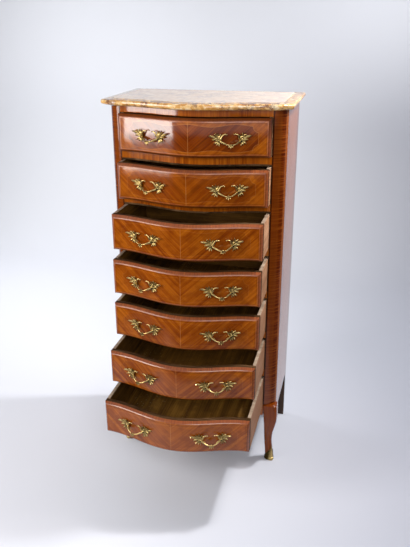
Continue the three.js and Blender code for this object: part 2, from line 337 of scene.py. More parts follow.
def marquetryFinish():
    # book-matched veneer that leans to the middle, in a frame, with a darker cartouche and painted shade on
    # the margins, most on the top drawers
    finish = Finish("marquetry", IOR=1.56)
    m = marquetry
    u, v = finish.flat()
    number = finish.attribute("drawerNumber")

    def below(upper):
        # 0 on the drawers down to this one, 1 on those below it
        return finish.rise(number, upper + 0.3, upper + 0.7)

    side = abs(u)
    across = v * math.cos(m["lean"]) - side * math.sin(m["lean"])
    along = side * math.cos(m["lean"]) + v * math.sin(m["lean"])
    seed = number * 3.7
    frameColour, streak = grain(finish, across, along, seed, tones["tulipwood"], 85.0)
    patches = finish.noise(across * 34.0, along * 4.0, seed + 5.0, detail=1.0)
    frameColour = finish.mix(finish.rise(patches, 0.42, 0.62) * 0.30, frameColour, tones["tulipwood"][2])
    cloud = finish.noise(u * 22.0, v * 28.0, seed + 15.0, detail=4.0, roughness=0.6)
    frameColour = finish.mix(finish.rise(cloud, 0.46, 0.64) * 0.38, frameColour, tones["kingwood"][1])
    fieldColour = grain(finish, across, along, seed + 40.0, tones["kingwood"], 75.0)[0]
    everywhere, upperTwo, firstOnly = m["fieldDepth"]
    depth = (1.0 - below(2)) * upperTwo + (1.0 - below(1)) * firstOnly + everywhere
    fieldColour = finish.mix(depth, frameColour, fieldColour)
    swell = (side * (2 * math.pi / m["fieldWaveLength"])).cosine() * m["fieldWave"]
    gapX = m["fieldHalfWidth"] - side
    gapZ = swell + m["fieldHalfHeight"] - abs(v - frontHeight / 2)
    corner = (gapX * gapX + gapZ * gapZ) ** 0.5 - m["cornerNotch"]
    inside = gapX.low(gapZ).low(corner)
    colour = finish.mix(finish.rise(inside, 0.0, 0.0006), frameColour, fieldColour)
    line = finish.stripe(inside, 0.0, m["stringWidth"]) * depth
    colour = finish.mix(line * 0.28, colour, tones["string"])
    colour = finish.mix(finish.stripe(u, 0.0, m["centreLineWidth"]) * 0.35, colour, tones["string"])
    edgeX = halfFront - side
    edgeZ = v.low(frontHeight - v)
    edge = edgeX.low(edgeZ)
    onEnds = finish.rise(edgeZ - edgeX, 0.0, 0.0004)
    bandAcross = u * (1.0 - onEnds) + v * onEnds
    bandColour = grain(finish, bandAcross, edge, seed + 70.0, tones["margin"], 190.0)[0]
    # painted shade over the margins, scaled with the field's depth so it is strongest on the first drawer
    bandColour = finish.mix(depth * 0.7, bandColour, tones["marginPaintedShade"])
    width = m["marginWidth"]
    margin = 1.0 - finish.rise(edge, width - 0.0003, width + 0.0003)
    inset, lineWidth = m["marginLine"]
    colour = finish.mix(finish.stripe(edge, width + inset, lineWidth) * 0.55, colour, tones["jointAndGapShadow"])
    colour = finish.mix(margin, colour, bandColour)
    inset, lineWidth = m["jointLine"]
    colour = finish.mix(finish.stripe(edge, width + inset, lineWidth) * 0.35, colour, tones["jointAndGapShadow"])
    fall = ((v - m["crownStart"]) * (1 / (frontHeight - m["crownStart"]))).high(0.0)
    handled = 1.0 - finish.rise(edge, width + 0.002, width + 0.006)
    dull = below(5) * (m["lowDull"] - m["marginDull"]) + m["marginDull"]
    return varnish(finish, colour, streak, crown=fall * fall * m["crownFall"], dull=handled * dull)


def bandingFinish(name, shades, coarse, shine, lift=0.0):
    # veneer whose grain runs up and down, paler in patches
    finish = Finish(name, IOR=1.5, Specular_IOR_Level=shine)
    x, y, z = finish.place()
    colour, streak = grain(finish, x, z + y, 3.0, shades, coarse)
    if lift:
        patches = finish.noise(x * 11.0, 0.0, 9.0, detail=1.0)
        colour = finish.mix(finish.rise(patches, 0.45, 0.6) * lift, colour, shades[2])
    return varnish(finish, colour, streak)


# where the posts carry a painted highlight, painted side light, a painted edge highlight and a painted gap
# shadow line
postVeneer = {  # shares of the way from the opening to the side, and strengths
    "jointAndGapShadow": (0.04, 0.08),
    "paintedHighlight": (0.40, 0.56),
    "paintedHighlightAmount": 0.45,
    "paintedSideLight": (0.72, 0.84),
    "paintedSideLightAmount": 0.5,
    "edge": (0.955, 1.0),
    "paintedEdgeHighlightAmount": 0.8,
}


def postFinish():
    # cross-banding over the canted post, with a painted highlight on its inner half, painted light towards
    # the side, a painted highlight on the outer edge and a painted shadow line along the opening
    finish = Finish("postBanding", IOR=1.5, Specular_IOR_Level=0.35)
    x, y, z = finish.place()
    p = postVeneer
    colour, streak = grain(finish, z, x + y, 5.0, tones["post"], 230.0)
    share = (abs(x) - halfOpening + y) * (1 / (postHigh.x - halfOpening + postHigh.y))
    # painted highlight strip over the inner half
    paintedHighlight = 1.0 - finish.rise(share, *p["paintedHighlight"])
    colour = finish.mix(paintedHighlight * p["paintedHighlightAmount"], colour, tones["post"][2])
    # painted light towards the side and a painted highlight on the outer edge
    colour = finish.mix(finish.rise(share, *p["paintedSideLight"]) * p["paintedSideLightAmount"], colour, tones["postPaintedSideLight"])
    colour = finish.mix(finish.rise(share, *p["edge"]) * p["paintedEdgeHighlightAmount"], colour, tones["postPaintedEdgeHighlight"])
    # painted shadow line of the gap beside the drawers
    colour = finish.mix(1.0 - finish.rise(share, *p["jointAndGapShadow"]), colour, tones["jointAndGapShadow"])
    return varnish(finish, colour, streak)


def legFinish():
    finish = Finish("legWood", IOR=1.5, Specular_IOR_Level=0.3)
    x, y, z = finish.place()
    colour, streak = grain(finish, x + y * 0.8, z, 31.0, tones["kingwood"], 110.0)
    colour = finish.mix(0.5, colour, tones["margin"][1])
    return varnish(finish, colour, streak, 0.0003)


sideVeneer = {
    "frameWidth": 0.030,
    "stringWidth": 0.0014,
    "jointInset": 0.034,
    "jointWidth": 0.0012,
}


def sideFinish():
    # upright grain in two book-matched leaves, inside a cross-banded frame
    finish = Finish("sideVeneer", IOR=1.5)
    x, y, z = finish.place()
    s = sideVeneer
    side = abs(y - (panelLow.y + panelHigh.y) / 2)
    gapY = (panelHigh.y - panelLow.y) / 2 - side
    gapZ = (panelHigh.z - panelLow.z) / 2 - abs(z - (panelHigh.z + panelLow.z) / 2)
    edge = gapY.low(gapZ)
    onEnds = finish.rise(gapY - gapZ, 0.0, 0.0004)
    leafColour, streak = grain(finish, side + z * 0.04, z, 51.0, tones["tulipwood"], 80.0)
    bandAcross = z * (1.0 - onEnds) + y * onEnds
    bandColour = grain(finish, bandAcross, edge, 57.0, tones["kingwood"], 100.0)[0]
    within = finish.rise(edge, s["frameWidth"], s["frameWidth"] + 0.0006)
    colour = finish.mix(within, bandColour, leafColour)
    string = finish.stripe(edge, s["frameWidth"], s["stringWidth"])
    colour = finish.mix(string * 0.8, colour, tones["string"])
    line = finish.stripe(edge, s["jointInset"], s["jointWidth"])
    colour = finish.mix(line * 0.6, colour, tones["jointAndGapShadow"])
    return varnish(finish, colour, streak)


def boardFinish(name, shades, acrossAxis, alongAxis, roughness, specks=0.0, shine=0.25, lowPaintedShade=0.0):
    # unvarnished board with growth lines, darker smudges, painted shade low down and pale dust specks
    finish = Finish(name, IOR=1.45, Specular_IOR_Level=shine)
    point = finish.place()
    other = point[3 - acrossAxis - alongAxis]
    colour, streak = grain(finish, point[acrossAxis], point[alongAxis], other * 5.0, shades, 45.0, 300.0)
    stain = finish.mottle(14.0, detail=4.0, roughness=0.65)
    colour = finish.mix(finish.rise(stain, 0.46, 0.66) * 0.5, colour, shades[0])
    # painted shade, darker towards the bottom of the chest
    if lowPaintedShade:
        low = 1.0 - finish.rise(point[2], 0.25, 1.0)
        colour = finish.mix(low * lowPaintedShade, colour, shades[0])
    if specks:
        spots = 1.0 - finish.rise(finish.cells(finish.vector(*point), 95.0, "Distance"), 0.10, 0.22)
        cluster = finish.noise(point[0] * 9.0, point[1] * 9.0, 4.0)
        dust = spots * finish.rise(cluster, 0.5, 0.62)
        colour = finish.mix(dust * specks, colour, tones["dust"])
    normal = finish.bump(streak + stain * 0.4, 0.0002)
    return finish.feed(Base_Color=colour, Normal=normal, Roughness=stain * 0.2 + roughness)


marble = {
    "ground": ((0.30, (0.44, 0.20, 0.045)), (0.44, (0.58, 0.32, 0.095)),
               (0.56, (0.66, 0.42, 0.17)), (0.70, (0.72, 0.56, 0.34))),
    "warp": 0.035,
    "pieces": (34.0, 0.16),  # cells in a metre, and the width of the seam in cells
    "chips": (95.0, 0.13),
    "seam": (0.13, 0.045, 0.035),
    "vein": (0.20, 0.075, 0.030),
    "fleck": (0.13, 0.055, 0.025),
    # paler colour on the flat top, painted glare
    "paintedGlareTop": (0.50, 0.44, 0.40),
    "paintedGlareAmount": 0.72,
    "dirt": (0.060, 0.028, 0.014),
}


def marbleFinish():
    # breccia: ochre ground, cream pieces, clusters of brown-violet veins and specks, painted glare and a
    # duller polish on the flat top
    finish = Finish("brecciaMarble", IOR=1.52)
    x, y, z = finish.place()
    m = marble
    warpX = finish.mottle(22.0, detail=5.0) - 0.5
    warpY = finish.noise(x * 22.0, y * 22.0, z * 22.0 + 7.0, detail=5.0) - 0.5
    where = finish.vector(x + warpX * m["warp"], y + warpY * m["warp"], z * 1.3 + warpX * 0.02)
    seams, veins = [1.0 - finish.rise(finish.cells(where, scale, "Distance", "DISTANCE_TO_EDGE"), 0.0, width)
                    for scale, width in (m["pieces"], m["chips"])]
    shade = finish.split(finish.cells(where, 70.0, "Color"))[0]
    cloud = finish.mottle(45.0, detail=6.0, roughness=0.65)
    base = finish.ramp(shade * 0.35 + cloud * 0.65, *m["ground"])
    patches = finish.noise(x * 16.0 + 3.0, y * 16.0, z * 16.0, detail=4.0)
    presence = finish.rise(patches, 0.47, 0.60)
    colour = finish.mix(veins * presence * 0.75, base, m["vein"])
    colour = finish.mix(seams * (presence * 0.75 + 0.08), colour, m["seam"])
    specks = finish.rise(finish.mottle(200.0, detail=3.0), 0.56, 0.64)
    colour = finish.mix(specks * (presence * 0.7 + 0.20), colour, m["fleck"])
    # painted glare over the flat top
    wearAndGlare = finish.rise(z, slabTop - 0.0007, slabTop - 0.0002)
    colour = finish.mix(wearAndGlare, colour, finish.mix(m["paintedGlareAmount"], colour, m["paintedGlareTop"]))
    rim = finish.rise(z, slabTop - 0.0030, slabTop - 0.0016) * (1.0 - wearAndGlare)
    dirt = finish.noise(x * 75.0, y * 75.0, 2.0, detail=3.0)
    colour = finish.mix(rim * finish.rise(dirt, 0.50, 0.58) * 0.85, colour, m["dirt"])
    return finish.feed(Base_Color=colour, Roughness=cloud * 0.06 + 0.05 + wearAndGlare * 0.12)


def giltFinish():
    # worn gilding, brown in the hollows and bright on what stands out
    finish = Finish("giltBrass", Metallic=1.0)
    mottle = finish.mottle(240.0, detail=4.0, roughness=0.6)
    wearAndGlare = finish.rise(finish.attribute("relief") + (mottle - 0.5) * 0.45, 0.05, 0.65)
    colour = finish.mix(wearAndGlare, tones["giltHollow"], tones["giltBright"])
    colour = finish.mix(finish.rise(mottle, 0.56, 0.70) * 0.6, colour, tones["giltTarnish"])
    normal = finish.bump(mottle, 0.0005)
    return finish.feed(Base_Color=colour, Roughness=0.50 - wearAndGlare * 0.20, Normal=normal)


def steelFinish():
    finish = Finish("nutSteel", Metallic=1.0)
    rust = finish.mottle(400.0, detail=4.0)
    colour = finish.mix(finish.rise(rust, 0.45, 0.6), tones["steel"], tones["rust"])
    return finish.feed(Base_Color=colour, Roughness=rust * 0.3 + 0.35, Normal=finish.bump(rust, 0.0002))


finishes = {
    "marquetry": marquetryFinish(),
    "railBanding": bandingFinish("railBanding", tones["tulipwood"], 130.0, 0.45, lift=0.3),
    "postBanding": postFinish(),
    "legWood": legFinish(),
    # rear legs darkened with painted shade
    "rearLegPaintedShadeWood": bandingFinish("rearLegPaintedShadeWood", tones["rearLegPaintedShade"], 90.0, 0.25),
    "sideVeneer": sideFinish(),
    # outer drawer sides with painted shade low down
    "rawSide": boardFinish("rawSide", tones["rawWood"], 2, 1, 0.55, lowPaintedShade=0.8),
    "rimBoard": boardFinish("rimBoard", tones["rimWood"], 1, 0, 0.5),
    # bare edge wood darkened with painted shade
    "paintedShadeEdgeBoard": boardFinish("paintedShadeEdgeBoard", tones["paintedShadeEdgeWood"], 1, 0, 0.6, shine=0.06),
    # drawer insides with painted shade; the bottoms also carry dust specks
    "paintedShadeInsideSide": boardFinish("paintedShadeInsideSide", tones["paintedShadeInsideWood"], 2, 1, 0.6),
    "paintedShadeInsideBack": boardFinish("paintedShadeInsideBack", tones["paintedShadeInsideWood"], 2, 0, 0.6),
    "paintedShadeInsideBottom": boardFinish("paintedShadeInsideBottom", tones["paintedShadeInsideWood"], 0, 1, 0.55, specks=0.8),
    # painted light on the lowest drawer's bottom, with dust specks
    "paintedLightBottom": boardFinish("paintedLightBottom", tones["paintedLightBottom"], 0, 1, 0.55, specks=0.8),
    "caseBoard": boardFinish("caseBoard", tones["darkWood"], 0, 1, 0.6, specks=0.3),
    "backBoard": boardFinish("backBoard", tones["darkWood"], 0, 2, 0.6),
    "marble": marbleFinish(),
    "gilt": giltFinish(),
    "steel": steelFinish(),
}
print("finishes made:", len(finishes))


# mesh helpers

def meshFrom(bm, name):
    mesh = bpy.data.meshes.new(name)
    bm.to_mesh(mesh)
    bm.free()
    return mesh


def addPiece(name, bm, materials, body, stands=(), sharp=34, sign=1):
    # makes a piece of a finished shape, mirrored to the left where sign is -1
    bmesh.ops.scale(bm, verts=bm.verts, vec=(sign, 1, 1))
    bmesh.ops.remove_doubles(bm, verts=bm.verts, dist=1e-5)
    bmesh.ops.recalc_face_normals(bm, faces=bm.faces)
    for edge in bm.edges:
        edge.smooth = len(edge.link_faces) == 2 and edge.calc_face_angle(0) < math.radians(sharp)
    for face in bm.faces:
        face.smooth = True
    piece = addObject(name, meshFrom(bm, name))
    for material in materials:
        piece.data.materials.append(finishes[material])
    even = piece.modifiers.new("evenShade", "WEIGHTED_NORMAL")
    even.keep_sharp = True
    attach(piece, body)
    if stands:
        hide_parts(*stands)


def dressNode(name, material):
    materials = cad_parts[name].data.materials
    materials.clear()
    materials.append(finishes[material])


def everything(bm):
    return bm.verts[:] + bm.edges[:] + bm.faces[:]


def newVerts(result):
    return [g for g in result["geom"] if isinstance(g, bmesh.types.BMVert)]


def edgesOf(verts):
    return list({edge for vert in verts for edge in vert.link_edges})


def addBox(bm, low, high):
    made = bmesh.ops.create_cube(bm, size=1)
    low, high = Vector(low), Vector(high)
    bmesh.ops.scale(bm, verts=made["verts"], vec=high - low)
    bmesh.ops.translate(bm, verts=made["verts"], vec=(low + high) / 2)
    return made["verts"]


def roundEdges(bm, edges, radius, segments=2):
    bmesh.ops.bevel(bm, geom=edges, offset=radius, segments=segments, profile=0.5,
                    affect="EDGES", material=-1, clamp_overlap=True)


def roundedBox(low, high, radius, segments=2):
    bm = bmesh.new()
    addBox(bm, low, high)
    roundEdges(bm, bm.edges[:], radius, segments)
    return bm


def sliceAcross(bm, axis, low, high, count):
    normal = Vector((0, 0, 0))
    normal[axis] = 1
    for i in range(1, count):
        bmesh.ops.bisect_plane(bm, geom=everything(bm), dist=1e-6,
                               plane_co=normal * (low + (high - low) * i / count), plane_no=normal)


def bendToBow(verts, shift=0.0):
    # wraps a straight board round the bow, square to it everywhere
    for vert in verts:
        x, out = vert.co.x, -vert.co.y
        slope = bowSlopeAt(x)
        length = math.sqrt(1 + slope * slope)
        vert.co.x = x + slope * out / length
        vert.co.y = -bowAt(x) - out / length + shift


def loft(bm, rings):
    for first, second in zip(rings, rings[1:]):
        loop = [e for e in edgesOf(first) if e.verts[0] in first and e.verts[1] in first]
        loop += [e for e in edgesOf(second) if e.verts[0] in second and e.verts[1] in second]
        bmesh.ops.bridge_loops(bm, edges=loop)


def sweep(bm, points, radii, corners, steps):
    # tapered rod along a smooth line through the points
    line = [Vector(point) for point in points]
    padded = [line[0] * 2 - line[1]] + line + [line[-1] * 2 - line[-2]]
    stations = []
    for i in range(steps + 1):
        at = (len(line) - 1) * i / steps
        k = min(int(at), len(line) - 2)
        t = at - k
        a, b, c, d = padded[k:k + 4]
        slope, bend, twist = c - a, a * 2 - b * 5 + c * 4 - d, b * 3 - a - c * 3 + d
        place = (b * 2 + slope * t + bend * t * t + twist * t * t * t) / 2
        ahead = (slope + bend * 2 * t + twist * 3 * t * t) / 2
        stations.append((place, ahead.normalized(), radii[k] + (radii[k + 1] - radii[k]) * t))
    turn = stations[0][1].to_track_quat("Z", "Y")
    rings = []
    for i, (place, ahead, radius) in enumerate(stations):
        turn = (turn @ Vector((0, 0, 1))).rotation_difference(ahead) @ turn
        matrix = Matrix.Translation(place) @ turn.to_matrix().to_4x4()
        capped = i in (0, steps)
        made = bmesh.ops.create_circle(bm, cap_ends=capped, segments=corners, radius=radius, matrix=matrix)
        rings.append(made["verts"])
    loft(bm, rings)
    return [vert for ring in rings for vert in ring]


# drawer fronts

front = {
    "thickness": 0.016,
    "marginRise": 0.0070,
    "marginReach": 0.0100,
    "arrisRound": 0.0034,
    "edgeRound": 0.0008,
    "slices": 60,
    "plainFrom": 0.0004,  # depth at which the veneer of the face ends and the bare wood starts
}


def drawerFront(number):
    name = f"drawer_{number}_front"
    low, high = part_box(name)
    shift = low.y + bowDepth + front["marginReach"]
    bm = bmesh.new()
    addBox(bm, (-halfFront, 0, low.z), (halfFront, front["thickness"], high.z))
    face = min(bm.faces, key=lambda f: f.calc_center_median().y)
    bmesh.ops.inset_region(bm, faces=[face], thickness=front["marginRise"],
                           depth=front["marginReach"], use_even_offset=True)
    roundEdges(bm, list(face.edges), front["arrisRound"], 4)
    roundEdges(bm, [e for e in bm.edges if e.calc_face_angle(0) > math.radians(40)], front["edgeRound"])
    sliceAcross(bm, 0, -halfFront, halfFront, front["slices"])
    flat = bm.loops.layers.uv.new("flat")
    for face in bm.faces:
        depth = face.calc_center_median().y
        if depth > front["thickness"] - front["plainFrom"]:
            face.material_index = 2
        elif depth > front["plainFrom"]:
            face.material_index = 1
        for loop in face.loops:
            loop[flat].uv = (loop.vert.co.x, loop.vert.co.z - low.z)
    layer = bm.verts.layers.float.new("drawerNumber")
    for vert in bm.verts:
        vert[layer] = number
    bendToBow(bm.verts, shift)
    # the front's bare edges carry painted shade, and its back carries the painted shade of the drawer's
    # inside
    woods = ["marquetry", "paintedShadeEdgeBoard", "paintedShadeInsideBack"]
    addPiece(f"front{number}", bm, woods, f"drawer_{number}", [name])
    return shift


# drawer boxes

box = {
    "wall": 0.011,
    "edgeRound": 0.0014,
    "backDrop": 0.006,
    "backGap": 0.0003,
}


def drawerBox(number):
    node = f"drawer_{number}_box"
    body = f"drawer_{number}"
    low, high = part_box(node)
    inner = high.x - box["wall"]
    for side, sign in sides.items():
        bm = roundedBox((inner, low.y, low.z), (high.x, high.y, high.z), box["edgeRound"])
        for face in bm.faces:
            # inner faces with painted shade, top edges as rims, outer faces plain
            face.material_index = 1 if face.normal.x < -0.5 else 2 if face.normal.z > 0.5 else 0
        stands = [node] if side == "left" else []
        addPiece(f"drawerSide{number}{side.title()}", bm, ["rawSide", "paintedShadeInsideSide", "rimBoard"],
                 body, stands, sign=sign)
    inner -= box["backGap"]
    bm = roundedBox((-inner, high.y - box["wall"], low.z), (inner, high.y, high.z - box["backDrop"]),
                    box["edgeRound"])
    addPiece(f"drawerBack{number}", bm, ["paintedShadeInsideBack"], body)


shifts = {}
for number in drawerNumbers:
    shifts[number] = drawerFront(number)
    drawerBox(number)
    # the lowest drawer's bottom gets painted light, the others painted shade
    dressNode(f"drawer_{number}_bottom", "paintedLightBottom" if number == 7 else "paintedShadeInsideBottom")
print("drawers made")


# pulls

pull = {
    "spread": 0.122,
    "bossSpacing": 0.068,
    "height": 0.057,
    "standOff": 0.0103,
    "leaves": (  # turn from outward in degrees, length, width, lift of the tip, start outward, start upward
        (16, 0.0330, 0.0088, 0.0060, 0.000, 0.0035),
        (-2, 0.0205, 0.0078, 0.0055, 0.000, 0.0010),
        (42, 0.0190, 0.0068, 0.0040, 0.000, 0.0050),
        (80, 0.0165, 0.0060, 0.0030, 0.001, 0.0040),
        (112, 0.0135, 0.0064, 0.0035, -0.001, 0.0040),
        (-36, 0.0185, 0.0068, 0.0048, 0.000, -0.0015),
        (-66, 0.0155, 0.0060, 0.0040, 0.000, -0.0020),
        (-97, 0.0160, 0.0058, 0.0030, 0.001, -0.0020),
        (-152, 0.0200, 0.0075, 0.0095, 0.001, -0.0030),
    ),
    "scroll": (0.0052, 0.0015, 0.0048),  # radius, thickness, height above the boss
    "screwRing": (0.0031, 0.0012, -0.0035),
    "horn": (  # inward from the boss, out from the face, upward, radius
        (0.0040, 0.0040, -0.0010, 0.0034), (0.0072, 0.0072, 0.0050, 0.0033),
        (0.0098, 0.0090, 0.0125, 0.0026), (0.0135, 0.0095, 0.0162, 0.0020),
        (0.0190, 0.0092, 0.0172, 0.0018), (0.0238, 0.0085, 0.0158, 0.0011),
    ),
    "grip": (
        (0.0010, 0.0040, -0.0030, 0.0036), (0.0070, 0.00855, -0.0056, 0.0032),
        (0.0140, 0.01406, -0.0088, 0.0025), (0.0210, 0.01748, -0.0120, 0.0018),
        (0.0280, 0.0190, -0.0138, 0.0017), (0.0340, 0.0190, -0.0148, 0.0024),
    ),
    "gripReach": 0.0190,
    "budWidth": 0.0100,
    "budDepth": 0.0088,
    "budTop": -0.0100,
    "budBottom": -0.0220,
    "budLeaves": ((-72, 0.0085, 0.0034), (-94, 0.0100, 0.0012)),  # turn, length, start outward
}

leafShape = {
    "sheet": 0.0012,
    "bed": 0.0020,  # from the face to the rim of the leaf
    "lobes": 3.4,
    "lobeDepth": 0.38,
    "ribHeight": 0.0016,
    "fluteDepth": 0.0007,
}


def leaf(bm, turn, length, width, lift, start):
    # pointed, ribbed leaf with a lobed rim, lying on the face and lifting towards its tip
    made = bmesh.ops.create_grid(bm, x_segments=12, y_segments=6, size=0.5)
    verts = made["verts"]
    for vert in verts:
        t, s = vert.co.x + 0.5, vert.co.y * 2
        lobe = abs(math.sin(leafShape["lobes"] * math.pi * t + 0.3)) ** 2
        half = width / 2 * math.sin(math.pi * min(1, t * 0.80 + 0.20)) ** 0.7
        half *= 1 - leafShape["lobeDepth"] * lobe * (1 - t)
        rib = leafShape["ribHeight"] * (1 - abs(s)) * (1 - t * 0.6)
        flute = leafShape["fluteDepth"] * math.cos(3 * math.pi * s) * (1 - t)
        curl = lift * t ** 1.7 * (1 - 0.3 * abs(s))
        vert.co = Vector((t * length, -(leafShape["bed"] + rib - flute + curl), s * half))
    faces = list({face for vert in verts for face in vert.link_faces})
    bmesh.ops.recalc_face_normals(bm, faces=faces)
    thick = bmesh.ops.solidify(bm, geom=faces, thickness=leafShape["sheet"])
    whole = list({v for f in faces for v in f.verts}.union(newVerts(thick)))
    turned = Matrix.Rotation(-math.radians(turn), 3, "Y")
    bmesh.ops.rotate(bm, verts=whole, cent=(0, 0, 0), matrix=turned)
    bmesh.ops.translate(bm, verts=whole, vec=(start[0], 0, start[1]))
    return whole


def ball(bm, place, radius, stretch, rings, segments):
    made = bmesh.ops.create_uvsphere(bm, u_segments=segments, v_segments=rings, radius=radius)
    bmesh.ops.scale(bm, verts=made["verts"], vec=stretch)
    bmesh.ops.translate(bm, verts=made["verts"], vec=place)
    return made["verts"]


def ring(bm, centre, radius, thickness, share=1.0, start=0.0):
    # round bead lying on the face, open where share is under 1
    steps = 16
    points = []
    for i in range(steps + 1):
        angle = start + 2 * math.pi * share * i / steps
        inward = radius * (1 - 0.25 * i / steps * (share < 1))
        points.append(Vector(centre) + Vector((math.cos(angle) * inward, 0, math.sin(angle) * inward)))
    sweep(bm, points, [thickness] * len(points), 7, steps * 2)


def limb(bm, half, stations, steps):
    points = [(half - inward, -out, up) for inward, out, up, radius in stations]
    sweep(bm, points, [station[3] for station in stations], 8, steps)


def pullForm():
    # one cast pull: leaf clusters round two bosses, curling horns and a grip with a small bud
    bm = bmesh.new()
    half = pull["bossSpacing"] / 2
    reach = pull["gripReach"]
    for turn, length, width, lift, outward, upward in pull["leaves"]:
        leaf(bm, turn, length, width, lift, (half + outward, upward))
    ball(bm, (half, -0.0024, 0.0015), 0.0092, (0.9, 0.40, 1.05), 8, 16)
    radius, thickness, level = pull["scroll"]
    ring(bm, (half, -0.0066, level), radius, thickness, 0.92, 0.6)
    ball(bm, (half, -0.0060, level), 0.0026, (1, 0.9, 1), 6, 10)
    radius, thickness, level = pull["screwRing"]
    ring(bm, (half, -0.0060, level), radius, thickness)
    ball(bm, (half, -0.0052, level), radius, (1, 0.25, 1), 6, 12)
    limb(bm, half, pull["horn"], 16)
    ball(bm, (half - 0.0228, -0.0086, 0.0160), 0.0020, (1, 1, 1), 6, 8)
    limb(bm, half, pull["grip"], 18)
    for turn, length, outward in pull["budLeaves"]:
        side = leaf(bm, turn, length, 0.0046, 0.0018, (outward, pull["budTop"] - 0.0014))
        bmesh.ops.translate(bm, verts=side, vec=(0, 0.0010 - reach, 0))
    bmesh.ops.mirror(bm, geom=everything(bm), axis="X", merge_dist=0.0, matrix=Matrix())
    budHeight = pull["budTop"] - pull["budBottom"]
    for vert in ball(bm, (0, 0, 0), 0.5, (1, 1, 1), 10, 18):
        taper = 0.55 + 0.45 * math.sin(math.pi * min(1, (vert.co.z + 0.5) * 0.62 + 0.06))
        vert.co.x *= pull["budWidth"] * taper * 0.86
        vert.co.y = vert.co.y * pull["budDepth"] - reach
        vert.co.z = pull["budBottom"] + (vert.co.z + 0.5) * budHeight
    layer = bm.verts.layers.float.new("relief")
    for vert in bm.verts:
        gap = math.hypot(abs(vert.co.x) - half, vert.co.z - level)
        vert[layer] = -0.6 if gap < radius - 0.0006 else -vert.co.y / 0.012 - 0.05
    bmesh.ops.recalc_face_normals(bm, faces=bm.faces)
    return meshFrom(bm, "pullForm")


nut = {
    "half": 0.0045,
    "height": 0.0028,
    "edgeRound": 0.0005,
    "boltRadius": 0.0021,
    "boltTip": 0.0019,
    "boltLength": 0.005,
    "boltOut": 0.0030,
}


def nuts(number, shift, level):
    # square nuts and bolt ends on the inner side of the front
    bm = bmesh.new()
    depth, half = front["thickness"], nut["half"]
    turned = Matrix.Rotation(math.radians(-90), 3, "X")
    for side in sides.values():
        for boss in (-1, 1):
            x = side * pull["spread"] + boss * pull["bossSpacing"] / 2
            verts = addBox(bm, (x - half, depth, level - half),
                           (x + half, depth + nut["height"], level + half))
            roundEdges(bm, edgesOf(verts), nut["edgeRound"], 1)
            bolt = bmesh.ops.create_cone(bm, cap_ends=True, segments=10, radius1=nut["boltRadius"],
                                         radius2=nut["boltTip"], depth=nut["boltLength"])
            bmesh.ops.rotate(bm, verts=bolt["verts"], cent=(0, 0, 0), matrix=turned)
            bmesh.ops.translate(bm, verts=bolt["verts"], vec=(x, depth + nut["boltOut"], level))
    bendToBow(bm.verts, shift)
    addPiece(f"pullNuts{number}", bm, ["steel"], f"drawer_{number}")


def pulls(number, form, shift):
    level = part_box(f"drawer_{number}_front")[0].z + pull["height"]
    slope = bowSlopeAt(pull["spread"])
    squeeze = 1 / math.sqrt(1 + slope * slope)
    for side, sign in sides.items():
        bm = bmesh.new()
        bm.from_mesh(form)
        for vert in bm.verts:
            vert.co.x = sign * pull["spread"] + vert.co.x * squeeze
            vert.co.y -= pull["standOff"]
            vert.co.z += level
        bendToBow(bm.verts, shift)
        addPiece(f"pull{number}{side.title()}", bm, ["gilt"], f"drawer_{number}",
                 [f"drawer_{number}_pull_{side}"], 50)
    nuts(number, shift, level)


form = pullForm()
for number in drawerNumbers:
    pulls(number, form, shifts[number])
print("pulls made")


# rails, dust panels and apron

rail = {"edgeRound": 0.0009, "slices": 60, "depth": 0.060, "lip": 0.0062}


def bowedRail(name, node, depth, lip=0.0):
    # bowed in front and straight behind, with a band of painted shade along its lower edge where a lip is
    # given
    low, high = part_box(node)
    bm = roundedBox((-halfOpening, 0, low.z), (halfOpening, depth, high.z), rail["edgeRound"])
    # painted shade band along the rail's lower edge
    if lip:
        level = low.z + lip
        bmesh.ops.bisect_plane(bm, geom=everything(bm), dist=1e-6, plane_co=(0, 0, level), plane_no=(0, 0, 1))
        for face in bm.faces:
            face.material_index = 1 if face.calc_center_median().z < level else 0
    sliceAcross(bm, 0, -halfOpening, halfOpening, rail["slices"])
    for vert in bm.verts:
        vert.co.y -= bowAt(vert.co.x) * max(0.0, 1 - vert.co.y / depth)
    woods = ["railBanding", "paintedShadeEdgeBoard"] if lip else ["railBanding"]
    addPiece(name, bm, woods, "case", [node])


dust = {"sideGap": 0.0003, "rearGap": 0.0005, "thickness": 0.012, "edgeRound": 0.0008}


def dustPanel(number):
    # thin board behind the rail, on which the drawer above it slides
    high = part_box(f"divider_{number}")[1]
    reach = high.x - dust["sideGap"]
    bm = roundedBox((-reach, rail["depth"] + dust["rearGap"], high.z - dust["thickness"]),
                    (reach, rearPostFront - dust["rearGap"], high.z), dust["edgeRound"], 1)
    addPiece(f"dustPanel{number}", bm, ["caseBoard"], "case")


for number in range(1, 7):
    bowedRail(f"rail{number}", f"divider_{number}", rail["depth"], rail["lip"])
    dustPanel(number)
bowedRail("frieze", "frieze_rail", friezeHigh.y)


apron = {"rise": 0.009, "span": 1 / 3, "slices": 72}


def addApron():
    # bowed board, its lower edge lifted in two shallow arches
    low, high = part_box("apron")
    bm = roundedBox((-halfOpening, 0, low.z), (halfOpening, high.y, high.z), rail["edgeRound"])
    sliceAcross(bm, 0, -halfOpening, halfOpening, apron["slices"])
    for vert in bm.verts:
        off = (abs(vert.co.x) - halfOpening / 2) / (halfOpening * apron["span"])
        if abs(off) < 1:
            vert.co.z += apron["rise"] * (1 - off * off) * (high.z - vert.co.z) / (high.z - low.z)
    bendToBow(bm.verts)
    addPiece("apronRail", bm, ["railBanding"], "case", ["apron"])


addApron()
print("rails made")


# posts and side panels

post = {"flat": 0.0015, "sag": 0.0082, "arrisRound": 0.0008, "segments": 20}


